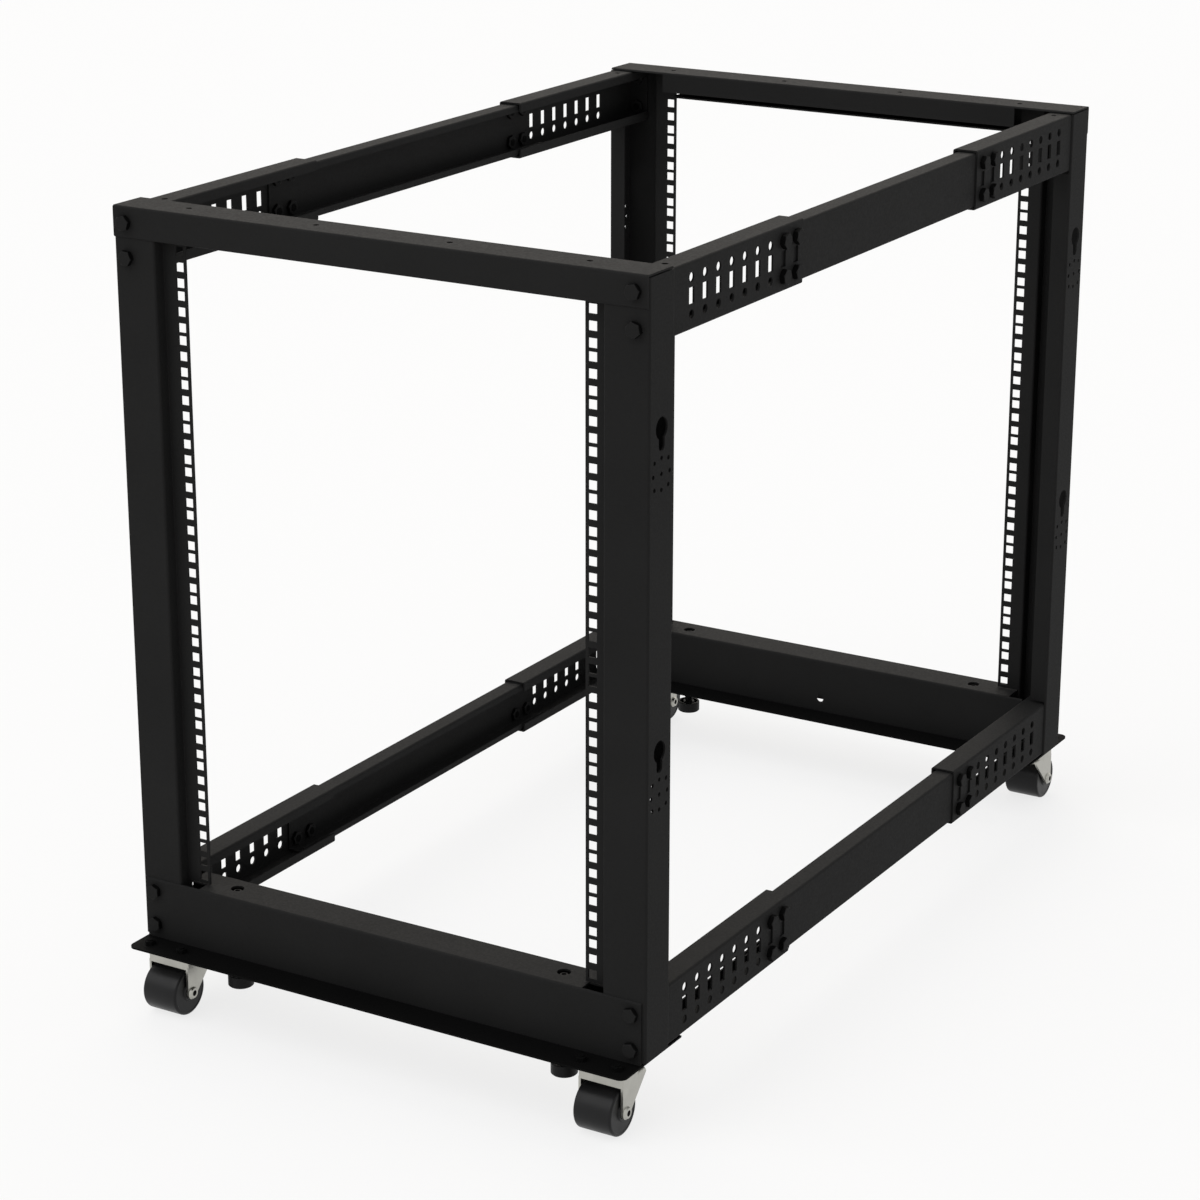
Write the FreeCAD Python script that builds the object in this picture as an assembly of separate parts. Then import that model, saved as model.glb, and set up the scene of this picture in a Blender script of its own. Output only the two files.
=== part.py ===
import FreeCAD
import Part

import math
import os

# Four post open frame rack on swivel casters, with levelling feet. Lengths are in millimetres.
#
# Frame: +Z up, +X to the right and +Y to the back of the rack, seen from its front.
# Origin: on the floor, under the middle of the rack.
#
# Every piece is modelled once, at the front right, and mirrored to its other places.

# ---- sheet metal -----------------------------------------------------------------------------
SHEET = 2.0  # thickness of every folded sheet
BEND = 0.5  # inside radius of every bend

# ---- the rack standard -----------------------------------------------------------------------
UNITS = 15  # rack units between base and top
UNIT = 44.45  # height of one rack unit
UNIT_HOLES = (6.35, 22.225, 38.1)  # hole centres above the bottom of each unit
CLEAR_WIDTH = 450.0  # between the left and right mounting flanges
SQUARE_HOLE = 9.5  # side of a square hole
SQUARE_HOLE_INSET = 7.55  # edge of a mounting flange to the middle of its square holes
MOUNTING_DEPTH = 965.0  # front mounting face to rear mounting face

# ---- posts -----------------------------------------------------------------------------------
FLANGE_WIDTH = 27.0  # edge of the mounting flange to the return wall
POST_FACE = 48.0  # width of the outermost wall of a post
POST_STEP = 14.0  # the outermost wall stands this far in front of the mounting face
POST_DEPTH = 45.0  # outermost wall to lip
POST_LIP = 20.0  # width of the lip along the back edge of the side wall
POST_TOP_GAP = 1.0  # post to the plate of the top crossbar
POST_FOOT_GAP = 1.8  # post to the foot plate
FLANGE_GAP = 0.8  # mounting flange to the plate of the base channel
LIP_GAP = 3.0  # lip to the side brackets

KEYHOLES = (245.8, 557.0)  # centres of the round parts, above the first rack unit
KEYHOLE_D = 21.5  # round part
KEYHOLE_SLOT = 10.5  # width of the slot below it
KEYHOLE_DROP = 21.5  # centre of the round part to the end of the slot
DOTS_BELOW = 42.9  # keyhole to the middle of its pattern of small holes
DOT_D = 4.5  # a small hole
DOT_AXIS = 15.0  # middle hole to the four on the axes
DOT_DIAGONAL = 12.7  # middle hole to the four between them, each way

# ---- top crossbars ---------------------------------------------------------------------------
BAR_INSET = 1.0  # outside of the post to the end of the crossbar
BAR_HEIGHT = 31.5  # front wall
BAR_DEPTH = 45.8
BAR_CLEARANCE = 3.55  # last rack unit to the bottom of the crossbar
BAR_RETURN = 33.0  # depth of the bottom flange
BAR_RETURN_GAP = 3.0  # bottom flange to the mounting flanges
BAR_WALL = 23.3  # height of the inner wall
BAR_WALL_OVERLAP = 3.0  # how far the inner wall reaches behind each mounting flange
BAR_HOLE_D = 6.0  # accessory holes in the top plate
BAR_HOLES = 4  # they share out the width between the mounting flanges
BAR_HOLE_INSET = 24.5  # front face of the crossbar to the line of holes

# ---- base channels and foot plates -----------------------------------------------------------
BASE_INSET = 4.5  # outside of the post to the end of the base channel
BASE_HEIGHT = 65.5
BASE_DEPTH = 44.0
BASE_UNIT_GAP = 2.8  # top of the base channel to the first rack unit
BASE_WALL_GAP = 1.7  # inner wall to the flanges of the lower brackets
BASE_PLATE_GAP = 2.0  # top plate to the return wall of a post
BASE_NOTCH = 21.0  # length of the notch under a mounting flange
BASE_NOTCH_GAP = 0.5  # back of the notch, in front of the middle of the mounting flange
BASE_HOLE_D = 9.5  # hole in the middle of the inner wall
BASE_HOLE_RISE = 16.5  # foot plate to that hole
STUD_HOLE_D = 14.0  # hole in the top plate over each levelling foot

FOOT_PLATE_END = 1.0  # beyond the end of the base channel
FOOT_PLATE_OVERHANG = 34.0  # in front of the base channel
FOOT_PLATE_DEPTH = 112.0
FOOT_PLATE_CORNER = 8.0  # radius of the outer corners
FOOT_PLATE_WINDOW = 240.0  # width of the window under the base channel, as deep as the channel

# ---- side brackets and side rails ------------------------------------------------------------
BRACKET_HEIGHT = 63.5
BRACKET_FLANGE = 28.3
BRACKET_LIP = 10.5  # edge of each flange, folded towards the other one
BRACKET_LENGTH = 295.0
BRACKET_TOP_GAP = 0.9  # upper bracket to the plate of the top crossbar
BRACKET_FOOT_GAP = 2.3  # lower bracket to the foot plate
BRACKET_TAB = 26.0  # width of the bolted tab at the post
BRACKET_RELIEF = 4.5  # the flanges start this far behind the tab
COLUMN_PITCH = 25.4  # columns of adjustment holes, as many as the bracket has room for
COLUMN_FIRST = 77.0  # post end of the bracket to the first column
COLUMN_MARGIN = 12.0  # least distance from the last column to the free end
COLUMN_ROW = 17.3  # middle of the bracket to the rows of round holes
COLUMN_HOLE_D = 9.0
COLUMN_SLOT = (9.5, 16.0)  # width and height of the slot between the rows
BRACKET_PIN_HOLE_D = 6.5  # hole in the outer flange
BRACKET_PIN_HOLE_INSET = (16.0, 56.0)  # from the web and from the post end

RAIL_CLEARANCE = 0.75  # rail to each flange of the bracket
RAIL_FLANGE = 22.1
RAIL_LIP = 7.5
RAIL_MARGIN = 11.8  # outer column of bolts to the end of the rail
RAIL_COLUMNS = 2  # columns of bolts at each end, in the last columns of the bracket

BOLT_HOLE_D = 8.8  # holes for the bolts that join post, crossbar and bracket
BOLT_INSET = 15.0  # outside of the post to the bolts
BAR_BOLT_SPACING = 35.0  # upper to lower bolt
BAR_BOLT_DROP = 16.0  # top of the crossbar to the upper bolt
BASE_BOLT_SPACING = 36.6
BASE_BOLT_DROP = 13.6  # top of the base channel to the upper bolt

# ---- casters ---------------------------------------------------------------------------------
CASTER_HEIGHT = 71.7  # floor to the top of the caster plate
CASTER_INSET = 40.0  # outside of the post to the swivel axis
CASTER_SETBACK = 6.5  # front face of the post to the swivel axis
CASTER_TRAIL = 16.0  # swivel axis to the axle
CASTER_PLATE_WIDTH = 58.0
CASTER_PLATE_DEPTH = 70.0
CASTER_PLATE_CORNER = 5.0
CASTER_PLATE_SHEET = 2.7
CASTER_BOLT_SPACING = (40.0, 52.0)  # across and along
CASTER_BOLT_HOLE_D = 6.5

WHEEL_D = 50.0
WHEEL_WIDTH = 42.0
WHEEL_EDGE = 4.0  # radius of the rounded edges of the tread
WHEEL_RIM = 6.0  # tread to the dished side
WHEEL_DISH = 3.5  # depth of the dished side
HUB_D = 20.0
AXLE_D = 8.0
AXLE_CLEARANCE = 0.08  # radial, in the wheel
AXLE_HEAD_D = 13.0
AXLE_HEAD = 2.4

FORK_SHEET = 2.5
FORK_GAP = 1.4  # each side of the tread
HUB_GAP = 0.3  # each side of the hub
FORK_BOSS = 7.0  # radius of the leg round the axle
FORK_BACK = 21.0  # swivel axis to the back edge of the crown
FORK_SKIRT = 4.4  # straight part of the back edge
FORK_CROWN = 5.5  # wheel to the crown
FORK_BEND = 2.0  # inside radius of the fork's two bends

KINGPIN_D = 10.0
KINGPIN_CLEARANCE = 0.06  # radial, in the crown
KINGPIN_HEAD_D = 16.0
KINGPIN_HEAD = 1.6
RACE_D = 44.0  # raceway at the caster plate
RACE_LIP_D = 36.0  # raceway at its lower edge
RACE_GAP = 0.3  # between the fixed and the turning half
RACE_SEAT = 3.9  # height of the turning half above the crown

# ---- levelling feet --------------------------------------------------------------------------
FOOT_TO_CASTER = 64.0  # axis of a levelling foot to the swivel axis beside it
FOOT_INSET = 23.7  # front face of the base channel to the axis of a foot
FOOT_D = 32.0
FOOT_BASE = 5.0  # thickness of the disc
FOOT_EDGE = 1.0  # chamfer of the disc
FOOT_CONE = 2.0  # rise of the top of the disc
FOOT_CLEARANCE = 31.5  # disc to the floor, wound up
FOOT_HEX = 14.0  # across the flats of the adjusting hexagon
FOOT_HEX_HEIGHT = 5.5
STUD_D = 10.0
STUD_CLEARANCE = 0.06  # radial, in the weld nut
STUD_TOP_GAP = 2.4  # end of the stud to the top of the base channel
STUD_CHAMFER = 0.8
SOCKET = 5.0  # across the flats of the key socket in the end of the stud
SOCKET_DEPTH = 6.0
WELD_NUT = 17.0  # across the flats
WELD_NUT_HEIGHT = 8.0

# ---- heights and distances that follow -------------------------------------------------------
THROUGH = 4 * SHEET  # how far a cutter reaches beyond a sheet

plate_bottom = CASTER_HEIGHT
plate_top = plate_bottom + SHEET
base_top = plate_top + BASE_HEIGHT
units_bottom = base_top + BASE_UNIT_GAP
units_top = units_bottom + UNITS * UNIT
bar_bottom = units_top + BAR_CLEARANCE
bar_top = bar_bottom + BAR_HEIGHT
bar_under = bar_top - SHEET

post_bottom = plate_top + POST_FOOT_GAP
post_top = bar_under - POST_TOP_GAP
post_inner = CLEAR_WIDTH / 2 + FLANGE_WIDTH
post_outer = post_inner + POST_FACE
flange_y = -(MOUNTING_DEPTH / 2 - SHEET / 2)
post_front = -(MOUNTING_DEPTH / 2 + POST_STEP)
post_back = post_front + POST_DEPTH
bar_front = post_front - SHEET
bar_half = post_outer - BAR_INSET
base_half = post_outer - BASE_INSET
foot_plate_half = base_half + FOOT_PLATE_END

bracket_web = post_outer - SHEET
bracket_front = post_front + SHEET
bracket_end = bracket_front + BRACKET_LENGTH
upper_bracket = bar_under - BRACKET_TOP_GAP - BRACKET_HEIGHT / 2
lower_bracket = plate_top + BRACKET_FOOT_GAP + BRACKET_HEIGHT / 2
column_room = BRACKET_LENGTH - COLUMN_FIRST - COLUMN_MARGIN
column_count = 1 + int(column_room / COLUMN_PITCH)
columns = [bracket_front + COLUMN_FIRST + i * COLUMN_PITCH for i in range(column_count)]
rail_web = bracket_web - SHEET
rail_height = BRACKET_HEIGHT - 2 * SHEET - 2 * RAIL_CLEARANCE
rail_columns = columns[-RAIL_COLUMNS:]
rail_half = -rail_columns[0] + RAIL_MARGIN

bolt_x = post_outer - BOLT_INSET
bar_bolts = [bar_top - BAR_BOLT_DROP, bar_top - BAR_BOLT_DROP - BAR_BOLT_SPACING]
base_bolts = [base_top - BASE_BOLT_DROP, base_top - BASE_BOLT_DROP - BASE_BOLT_SPACING]

swivel_x = post_outer - CASTER_INSET
swivel_y = post_front + CASTER_SETBACK
axle_y = swivel_y - CASTER_TRAIL
axle_z = WHEEL_D / 2
fork_inner = WHEEL_WIDTH / 2 + FORK_GAP
fork_outer = fork_inner + FORK_SHEET
crown_bottom = WHEEL_D + FORK_CROWN
crown_top = crown_bottom + FORK_SHEET
race_seat_top = crown_top + RACE_SEAT
race_bottom = race_seat_top + RACE_GAP

foot_x = swivel_x - FOOT_TO_CASTER
foot_y = bar_front + FOOT_INSET
stud_top = base_top - STUD_TOP_GAP

ORIGIN = FreeCAD.Vector(0, 0, 0)
X_AXIS = FreeCAD.Vector(1, 0, 0)
Y_AXIS = FreeCAD.Vector(0, 1, 0)
Z_AXIS = FreeCAD.Vector(0, 0, 1)


# ---- building blocks -------------------------------------------------------------------------
def box(x, y, z):
    """A block between two values along each axis."""
    corner = FreeCAD.Vector(min(x), min(y), min(z))
    return Part.makeBox(abs(x[1] - x[0]), abs(y[1] - y[0]), abs(z[1] - z[0]), corner)


def rod(diameter, start, end):
    """A round bar, or the cutter of a round hole, between two points."""
    start = FreeCAD.Vector(*start)
    along = FreeCAD.Vector(*end) - start
    return Part.makeCylinder(diameter / 2, along.Length, start, along)


def placed(u, v, along):
    """A point of a section in space: the section stands across the axis `along`."""
    if along == "X":
        return FreeCAD.Vector(0, u, v)
    if along == "Y":
        return FreeCAD.Vector(u, 0, v)
    return FreeCAD.Vector(u, v, 0)


def direction(along):
    """The axis that a section is drawn out along."""
    return {"X": X_AXIS, "Y": Y_AXIS, "Z": Z_AXIS}[along]


def side_edges(path, offset, radius, along):
    """One side of a bent sheet, `offset` to the left of its middle line, as edges in order."""
    lines = []
    arcs = []
    start = path[0]
    for before, corner, after in zip(path, path[1:], path[2:]):
        into = unit(before, corner)
        out = unit(corner, after)
        turn = math.atan2(into[0] * out[1] - into[1] * out[0], into[0] * out[0] + into[1] * out[1])
        setback = radius * math.tan(abs(turn) / 2)
        side = math.copysign(1, turn)
        first = (corner[0] - into[0] * setback, corner[1] - into[1] * setback)
        last = (corner[0] + out[0] * setback, corner[1] + out[1] * setback)
        centre = (first[0] - into[1] * radius * side, first[1] + into[0] * radius * side)
        middle = unit(centre, corner)
        reach = radius - offset * side
        lines.append((shifted(start, into, offset), shifted(first, into, offset)))
        arcs.append(
            (
                shifted(first, into, offset),
                (centre[0] + middle[0] * reach, centre[1] + middle[1] * reach),
                shifted(last, out, offset),
            )
        )
        start = last
    out = unit(path[-2], path[-1])
    lines.append((shifted(start, out, offset), shifted(path[-1], out, offset)))
    edges = []
    for i, ends in enumerate(lines):
        edges.append(Part.LineSegment(*[placed(*p, along) for p in ends]).toShape())
        if i < len(arcs):
            edges.append(Part.Arc(*[placed(*p, along) for p in arcs[i]]).toShape())
    return edges


def unit(a, b):
    """The direction from a to b, of length one."""
    length = math.hypot(b[0] - a[0], b[1] - a[1])
    return ((b[0] - a[0]) / length, (b[1] - a[1]) / length)


def shifted(point, heading, offset):
    """A point moved to the left of a heading."""
    return (point[0] - heading[1] * offset, point[1] + heading[0] * offset)


def folded(path, along, start, end, sheet=SHEET, bend=BEND):
    """Sheet metal folded along `path`, the middle line of its section, and drawn out along an axis."""
    radius = bend + sheet / 2
    left = side_edges(path, sheet / 2, radius, along)
    right = side_edges(path, -sheet / 2, radius, along)
    first = Part.LineSegment(left[0].Vertexes[0].Point, right[0].Vertexes[0].Point).toShape()
    last = Part.LineSegment(left[-1].Vertexes[-1].Point, right[-1].Vertexes[-1].Point).toShape()
    section = Part.Face(Part.Wire(Part.__sortEdges__(left + right + [first, last])))
    section.translate(direction(along) * start)
    return section.extrude(direction(along) * (end - start))


def polygon(points, along, start, end):
    """A straight-sided section drawn out along an axis."""
    corners = [placed(*p, along) + direction(along) * start for p in points]
    outline = Part.makePolygon(corners + corners[:1])
    return Part.Face(outline).extrude(direction(along) * (end - start))


def hexagon(across, centre, start, end):
    """A hexagonal prism that stands up between two heights."""
    radius = across / math.sqrt(3)
    angles = [math.radians(60 * i) for i in range(6)]
    points = [(centre[0] + radius * math.cos(a), centre[1] + radius * math.sin(a)) for a in angles]
    return polygon(points, "Z", start, end)


def turned(points, centre, axis=Z_AXIS):
    """A solid of revolution. Each point is a radius and a distance along the axis, outlined in order."""
    across = X_AXIS if axis == Z_AXIS else Z_AXIS
    base = FreeCAD.Vector(*centre)
    corners = [base + across * r + axis * along for r, along in points]
    outline = Part.makePolygon(corners + corners[:1])
    return Part.Face(outline).revolve(base, axis, 360)


def rounded_plate(x, y, z, radius, corners):
    """A flat plate with some of its upright edges rounded; `corners` holds their (x, y) places."""
    plate = box(x, y, z)
    edges = []
    for edge in plate.Edges:
        middle = (edge.CenterOfMass.x, edge.CenterOfMass.y)
        if min(math.dist(middle, corner) for corner in corners) < radius:
            edges.append(edge)
    return plate.makeFillet(radius, edges)


def opened(shape, cutters):
    """A shape with every cutter taken out of it, left as one clean solid."""
    return shape.cut(cutters).removeSplitter()


def joined(shapes):
    """Shapes made into one solid."""
    return shapes[0].fuse(shapes[1:]).removeSplitter()


# ---- posts -----------------------------------------------------------------------------------
def square_holes():
    """The column of square holes in a mounting flange."""
    x = CLEAR_WIDTH / 2 + SQUARE_HOLE_INSET
    half = SQUARE_HOLE / 2
    cutters = []
    for u in range(UNITS):
        for rise in UNIT_HOLES:
            z = units_bottom + u * UNIT + rise
            deep = (flange_y - THROUGH, flange_y + THROUGH)
            cutters.append(box((x - half, x + half), deep, (z - half, z + half)))
    return cutters


def keyhole(z):
    """A keyhole through the side wall, and the pattern of small holes below it."""
    y = (post_front + post_back) / 2
    ends = (post_outer - THROUGH, post_outer + THROUGH)
    slot_end = z - KEYHOLE_DROP + KEYHOLE_SLOT / 2
    slot = box(ends, (y - KEYHOLE_SLOT / 2, y + KEYHOLE_SLOT / 2), (slot_end, z))
    round_end = rod(KEYHOLE_SLOT, (ends[0], y, slot_end), (ends[1], y, slot_end))
    head = rod(KEYHOLE_D, (ends[0], y, z), (ends[1], y, z))
    cutters = [joined([head, slot, round_end])]
    across = [(0, 0)]
    for a, b in ((1, 0), (0, 1)):
        across += [(a * DOT_AXIS, b * DOT_AXIS), (-a * DOT_AXIS, -b * DOT_AXIS)]
    for a in (-1, 1):
        across += [(a * DOT_DIAGONAL, DOT_DIAGONAL), (a * DOT_DIAGONAL, -DOT_DIAGONAL)]
    for dy, dz in across:
        place = (y + dy, z - DOTS_BELOW + dz)
        cutters.append(rod(DOT_D, (ends[0], *place), (ends[1], *place)))
    return cutters


def post():
    """A post: mounting flange, return wall, outermost wall, side wall and lip, folded from one sheet."""
    middle = SHEET / 2
    path = [
        (CLEAR_WIDTH / 2, flange_y),
        (post_inner + middle, flange_y),
        (post_inner + middle, post_front + middle),
        (post_outer - middle, post_front + middle),
        (post_outer - middle, post_back - middle),
        (post_outer - POST_LIP, post_back - middle),
    ]
    shape = folded(path, "Z", post_bottom, post_top)
    lip_x = (post_outer - POST_LIP - THROUGH, post_outer - SHEET)
    lip_y = (post_back - SHEET - BEND, post_back + THROUGH)
    lower = lower_bracket + BRACKET_HEIGHT / 2 + LIP_GAP
    upper = upper_bracket - BRACKET_HEIGHT / 2 - LIP_GAP
    flange_x = (CLEAR_WIDTH / 2 - THROUGH, post_inner - BEND)
    cutters = [
        box(flange_x, (flange_y - SHEET, flange_y + SHEET), (post_bottom - SHEET, base_top + FLANGE_GAP)),
        box(lip_x, lip_y, (post_bottom - SHEET, lower)),
        box(lip_x, lip_y, (upper, post_top + SHEET)),
    ]
    cutters += square_holes()
    for rise in KEYHOLES:
        cutters += keyhole(units_bottom + rise)
    cutters += bolt_holes(bar_bolts + base_bolts, post_front)
    return opened(shape, cutters)


def bolt_holes(heights, y):
    """Holes of the bolts that pull post, crossbar or base channel, and bracket together."""
    reach = (y - THROUGH, y + THROUGH)
    return [rod(BOLT_HOLE_D, (bolt_x, reach[0], z), (bolt_x, reach[1], z)) for z in heights]


def both_sides(cutters):
    """Cutters and their mirror images on the other side of the rack."""
    return cutters + [c.mirror(ORIGIN, X_AXIS) for c in cutters]


# ---- crossbars, base channels and foot plates ------------------------------------------------
def top_crossbar():
    """The folded bar over the two posts: bottom flange, front wall, top plate and inner wall."""
    middle = SHEET / 2
    back = bar_front + BAR_DEPTH
    path = [
        (bar_front + BAR_RETURN, bar_bottom + middle),
        (bar_front + middle, bar_bottom + middle),
        (bar_front + middle, bar_top - middle),
        (back - middle, bar_top - middle),
        (back - middle, bar_top - BAR_WALL),
    ]
    shape = folded(path, "X", -bar_half, bar_half)
    return_half = CLEAR_WIDTH / 2 - BAR_RETURN_GAP
    wall_half = CLEAR_WIDTH / 2 + BAR_WALL_OVERLAP
    end = bar_half + SHEET
    behind = (bar_front + SHEET, back + SHEET)
    cutters = [
        box((return_half, end), behind, (bar_bottom - SHEET, bar_bottom + SHEET + BEND)),
        box((wall_half, end), (back - SHEET - BEND, back + SHEET), (bar_bottom, bar_under)),
    ]
    pitch = CLEAR_WIDTH / (BAR_HOLES - 1)
    for i in range(BAR_HOLES // 2):
        hole = (CLEAR_WIDTH / 2 - i * pitch, bar_front + BAR_HOLE_INSET)
        cutters.append(rod(BAR_HOLE_D, (*hole, bar_top - THROUGH), (*hole, bar_top + THROUGH)))
    cutters += bolt_holes(bar_bolts[:1], bar_front)
    return opened(shape, both_sides(cutters))


def base_channel():
    """The folded channel between the feet of two posts, open below and cut away round the posts."""
    middle = SHEET / 2
    back = bar_front + BASE_DEPTH
    path = [
        (bar_front + middle, plate_top),
        (bar_front + middle, base_top - middle),
        (back - middle, base_top - middle),
        (back - middle, plate_top),
    ]
    shape = folded(path, "X", -base_half, base_half)
    wall_half = bracket_web - BRACKET_FLANGE - BASE_WALL_GAP
    plate_half = post_inner - BASE_PLATE_GAP
    notch_half = plate_half - BASE_NOTCH
    end = base_half + SHEET
    inside = (bar_front + SHEET, back - SHEET)
    above = (base_top - SHEET - BEND, base_top + SHEET)
    notch_y = (bar_front + SHEET, flange_y - BASE_NOTCH_GAP)
    cutters = [
        box((wall_half, end), (bar_front + SHEET, back + SHEET), (plate_top - SHEET, base_top + SHEET)),
        box((plate_half, wall_half + SHEET), inside, above),
        box((notch_half, plate_half + SHEET), notch_y, above),
        rod(STUD_HOLE_D, (foot_x, foot_y, base_top - THROUGH), (foot_x, foot_y, base_top + THROUGH)),
    ]
    cutters += bolt_holes(base_bolts, bar_front)
    rise = plate_top + BASE_HOLE_RISE
    cable_hole = rod(BASE_HOLE_D, (0, back - THROUGH, rise), (0, back + THROUGH, rise))
    return opened(shape, both_sides(cutters) + [cable_hole])


def caster_bolts():
    """Centres of the four bolts of the front right caster."""
    across, deep = (spacing / 2 for spacing in CASTER_BOLT_SPACING)
    return [(swivel_x + sx * across, swivel_y + sy * deep) for sx in (-1, 1) for sy in (-1, 1)]


def foot_plate():
    """The flat plate under a base channel, with the weld nuts of the two levelling feet."""
    wide = (-foot_plate_half, foot_plate_half)
    front = bar_front - FOOT_PLATE_OVERHANG
    deep = (front, front + FOOT_PLATE_DEPTH)
    corners = [(x, front) for x in wide]
    plate = rounded_plate(wide, deep, (plate_bottom, plate_top), FOOT_PLATE_CORNER, corners)
    nut = hexagon(WELD_NUT, (foot_x, foot_y), plate_top, plate_top + WELD_NUT_HEIGHT)
    shape = joined([plate, nut, nut.mirror(ORIGIN, X_AXIS)])
    thread_d = STUD_D + 2 * STUD_CLEARANCE
    top = plate_top + WELD_NUT_HEIGHT + THROUGH
    cutters = [rod(thread_d, (foot_x, foot_y, plate_bottom - THROUGH), (foot_x, foot_y, top))]
    window_x = (-FOOT_PLATE_WINDOW / 2, FOOT_PLATE_WINDOW / 2)
    window_z = (plate_bottom - THROUGH, plate_top + THROUGH)
    cutters.append(box(window_x, (bar_front, bar_front + BASE_DEPTH), window_z))
    for x, y in caster_bolts():
        cutters.append(rod(CASTER_BOLT_HOLE_D, (x, y, plate_bottom - THROUGH), (x, y, plate_top + THROUGH)))
    return opened(shape, both_sides(cutters))


# ---- side brackets and side rails ------------------------------------------------------------
def channel(web, flange, height, lip, z, start, end):
    """A channel with folded lips along the side of the rack, open to the inside, about the height z."""
    middle = SHEET / 2
    half = height / 2
    path = [
        (web - flange + middle, z + half - lip),
        (web - flange + middle, z + half - middle),
        (web - middle, z + half - middle),
        (web - middle, z - half + middle),
        (web - flange + middle, z - half + middle),
        (web - flange + middle, z - half + lip),
    ]
    return folded(path, "Y", start, end)


def side_bracket():
    """The upper bracket: a channel with rows of adjustment holes and a bolted tab inside the post."""
    z = upper_bracket
    middle = SHEET / 2
    arm_start = bracket_front + BRACKET_RELIEF
    arm = channel(bracket_web, BRACKET_FLANGE, BRACKET_HEIGHT, BRACKET_LIP, z, arm_start, bracket_end)
    flat = BRACKET_HEIGHT / 2 - SHEET - BEND
    tab_path = [
        (bracket_web - middle, arm_start + SHEET),
        (bracket_web - middle, bracket_front + middle),
        (bracket_web - BRACKET_TAB, bracket_front + middle),
    ]
    tab = folded(tab_path, "Z", z - flat, z + flat)
    ends = (bracket_web - THROUGH, bracket_web + THROUGH)
    wide, high = (size / 2 for size in COLUMN_SLOT)
    cutters = []
    for y in columns:
        for row in (-COLUMN_ROW, COLUMN_ROW):
            cutters.append(rod(COLUMN_HOLE_D, (ends[0], y, z + row), (ends[1], y, z + row)))
        cutters.append(box(ends, (y - wide, y + wide), (z - high, z + high)))
    pin_x = bracket_web - BRACKET_PIN_HOLE_INSET[0]
    pin_y = bracket_front + BRACKET_PIN_HOLE_INSET[1]
    top = z + BRACKET_HEIGHT / 2
    cutters.append(rod(BRACKET_PIN_HOLE_D, (pin_x, pin_y, top - THROUGH), (pin_x, pin_y, top + THROUGH)))
    cutters += bolt_holes(bar_bolts, bracket_front)
    return opened(joined([arm, tab]), cutters)


def side_rail():
    """The upper rail that joins the front and rear brackets of one side, nested inside them."""
    z = upper_bracket
    shape = channel(rail_web, RAIL_FLANGE, rail_height, RAIL_LIP, z, -rail_half, rail_half)
    ends = (rail_web - THROUGH, rail_web + THROUGH)
    cutters = []
    for y in rail_columns + [-y for y in rail_columns]:
        for row in (-COLUMN_ROW, COLUMN_ROW):
            cutters.append(rod(COLUMN_HOLE_D, (ends[0], y, z + row), (ends[1], y, z + row)))
    return opened(shape, cutters)


def lowered(shape):
    """The same piece turned upside down as its lower twin."""
    flipped = shape.mirror(FreeCAD.Vector(0, 0, upper_bracket), Z_AXIS)
    flipped.translate(FreeCAD.Vector(0, 0, lower_bracket - upper_bracket))
    return flipped


# ---- casters ---------------------------------------------------------------------------------
def caster_plate():
    """The bolted plate of a caster, with the fixed half of the raceway and the kingpin."""
    half_x = CASTER_PLATE_WIDTH / 2
    half_y = CASTER_PLATE_DEPTH / 2
    x = (swivel_x - half_x, swivel_x + half_x)
    y = (swivel_y - half_y, swivel_y + half_y)
    under = plate_bottom - CASTER_PLATE_SHEET
    corners = [(a, b) for a in x for b in y]
    plate = rounded_plate(x, y, (under, plate_bottom), CASTER_PLATE_CORNER, corners)
    head_top = crown_bottom - RACE_GAP
    outline = [
        (0, under + CASTER_PLATE_SHEET / 2),
        (RACE_D / 2, under + CASTER_PLATE_SHEET / 2),
        (RACE_D / 2, under),
        (RACE_D / 2 - SHEET / 2, (2 * under + race_bottom) / 3),
        (RACE_LIP_D / 2, race_bottom),
        (KINGPIN_D / 2, race_bottom),
        (KINGPIN_D / 2, head_top),
        (KINGPIN_HEAD_D / 2, head_top),
        (KINGPIN_HEAD_D / 2 - KINGPIN_HEAD / 2, head_top - KINGPIN_HEAD),
        (0, head_top - KINGPIN_HEAD),
    ]
    race = turned(outline, (swivel_x, swivel_y, 0))
    cutters = []
    for bolt in caster_bolts():
        cutters.append(rod(CASTER_BOLT_HOLE_D, (*bolt, under - THROUGH), (*bolt, plate_bottom + THROUGH)))
    return opened(joined([plate, race]), cutters)


def fork_outline():
    """The side of the fork: a boss round the axle, a straight front and a sloping back."""
    front = axle_y - FORK_BOSS
    back = swivel_y + FORK_BACK
    knee = (back, crown_bottom - FORK_SKIRT + FORK_SHEET)
    reach = math.hypot(knee[0] - axle_y, knee[1] - axle_z)
    bearing = math.atan2(knee[1] - axle_z, knee[0] - axle_y)
    tangent = bearing - math.acos(FORK_BOSS / reach)
    touch = (axle_y + FORK_BOSS * math.cos(tangent), axle_z + FORK_BOSS * math.sin(tangent))
    below = (math.pi + tangent) / 2 + math.pi
    lowest = (axle_y + FORK_BOSS * math.cos(below), axle_z + FORK_BOSS * math.sin(below))
    top = crown_top + SHEET
    points = [placed(*p, "X") for p in ((front, axle_z), lowest, touch, knee, (back, top), (front, top))]
    edges = [Part.Arc(*points[:3]).toShape()]
    for a, b in zip(points[2:], points[3:] + points[:1]):
        edges.append(Part.LineSegment(a, b).toShape())
    return Part.Face(Part.Wire(edges))


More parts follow.
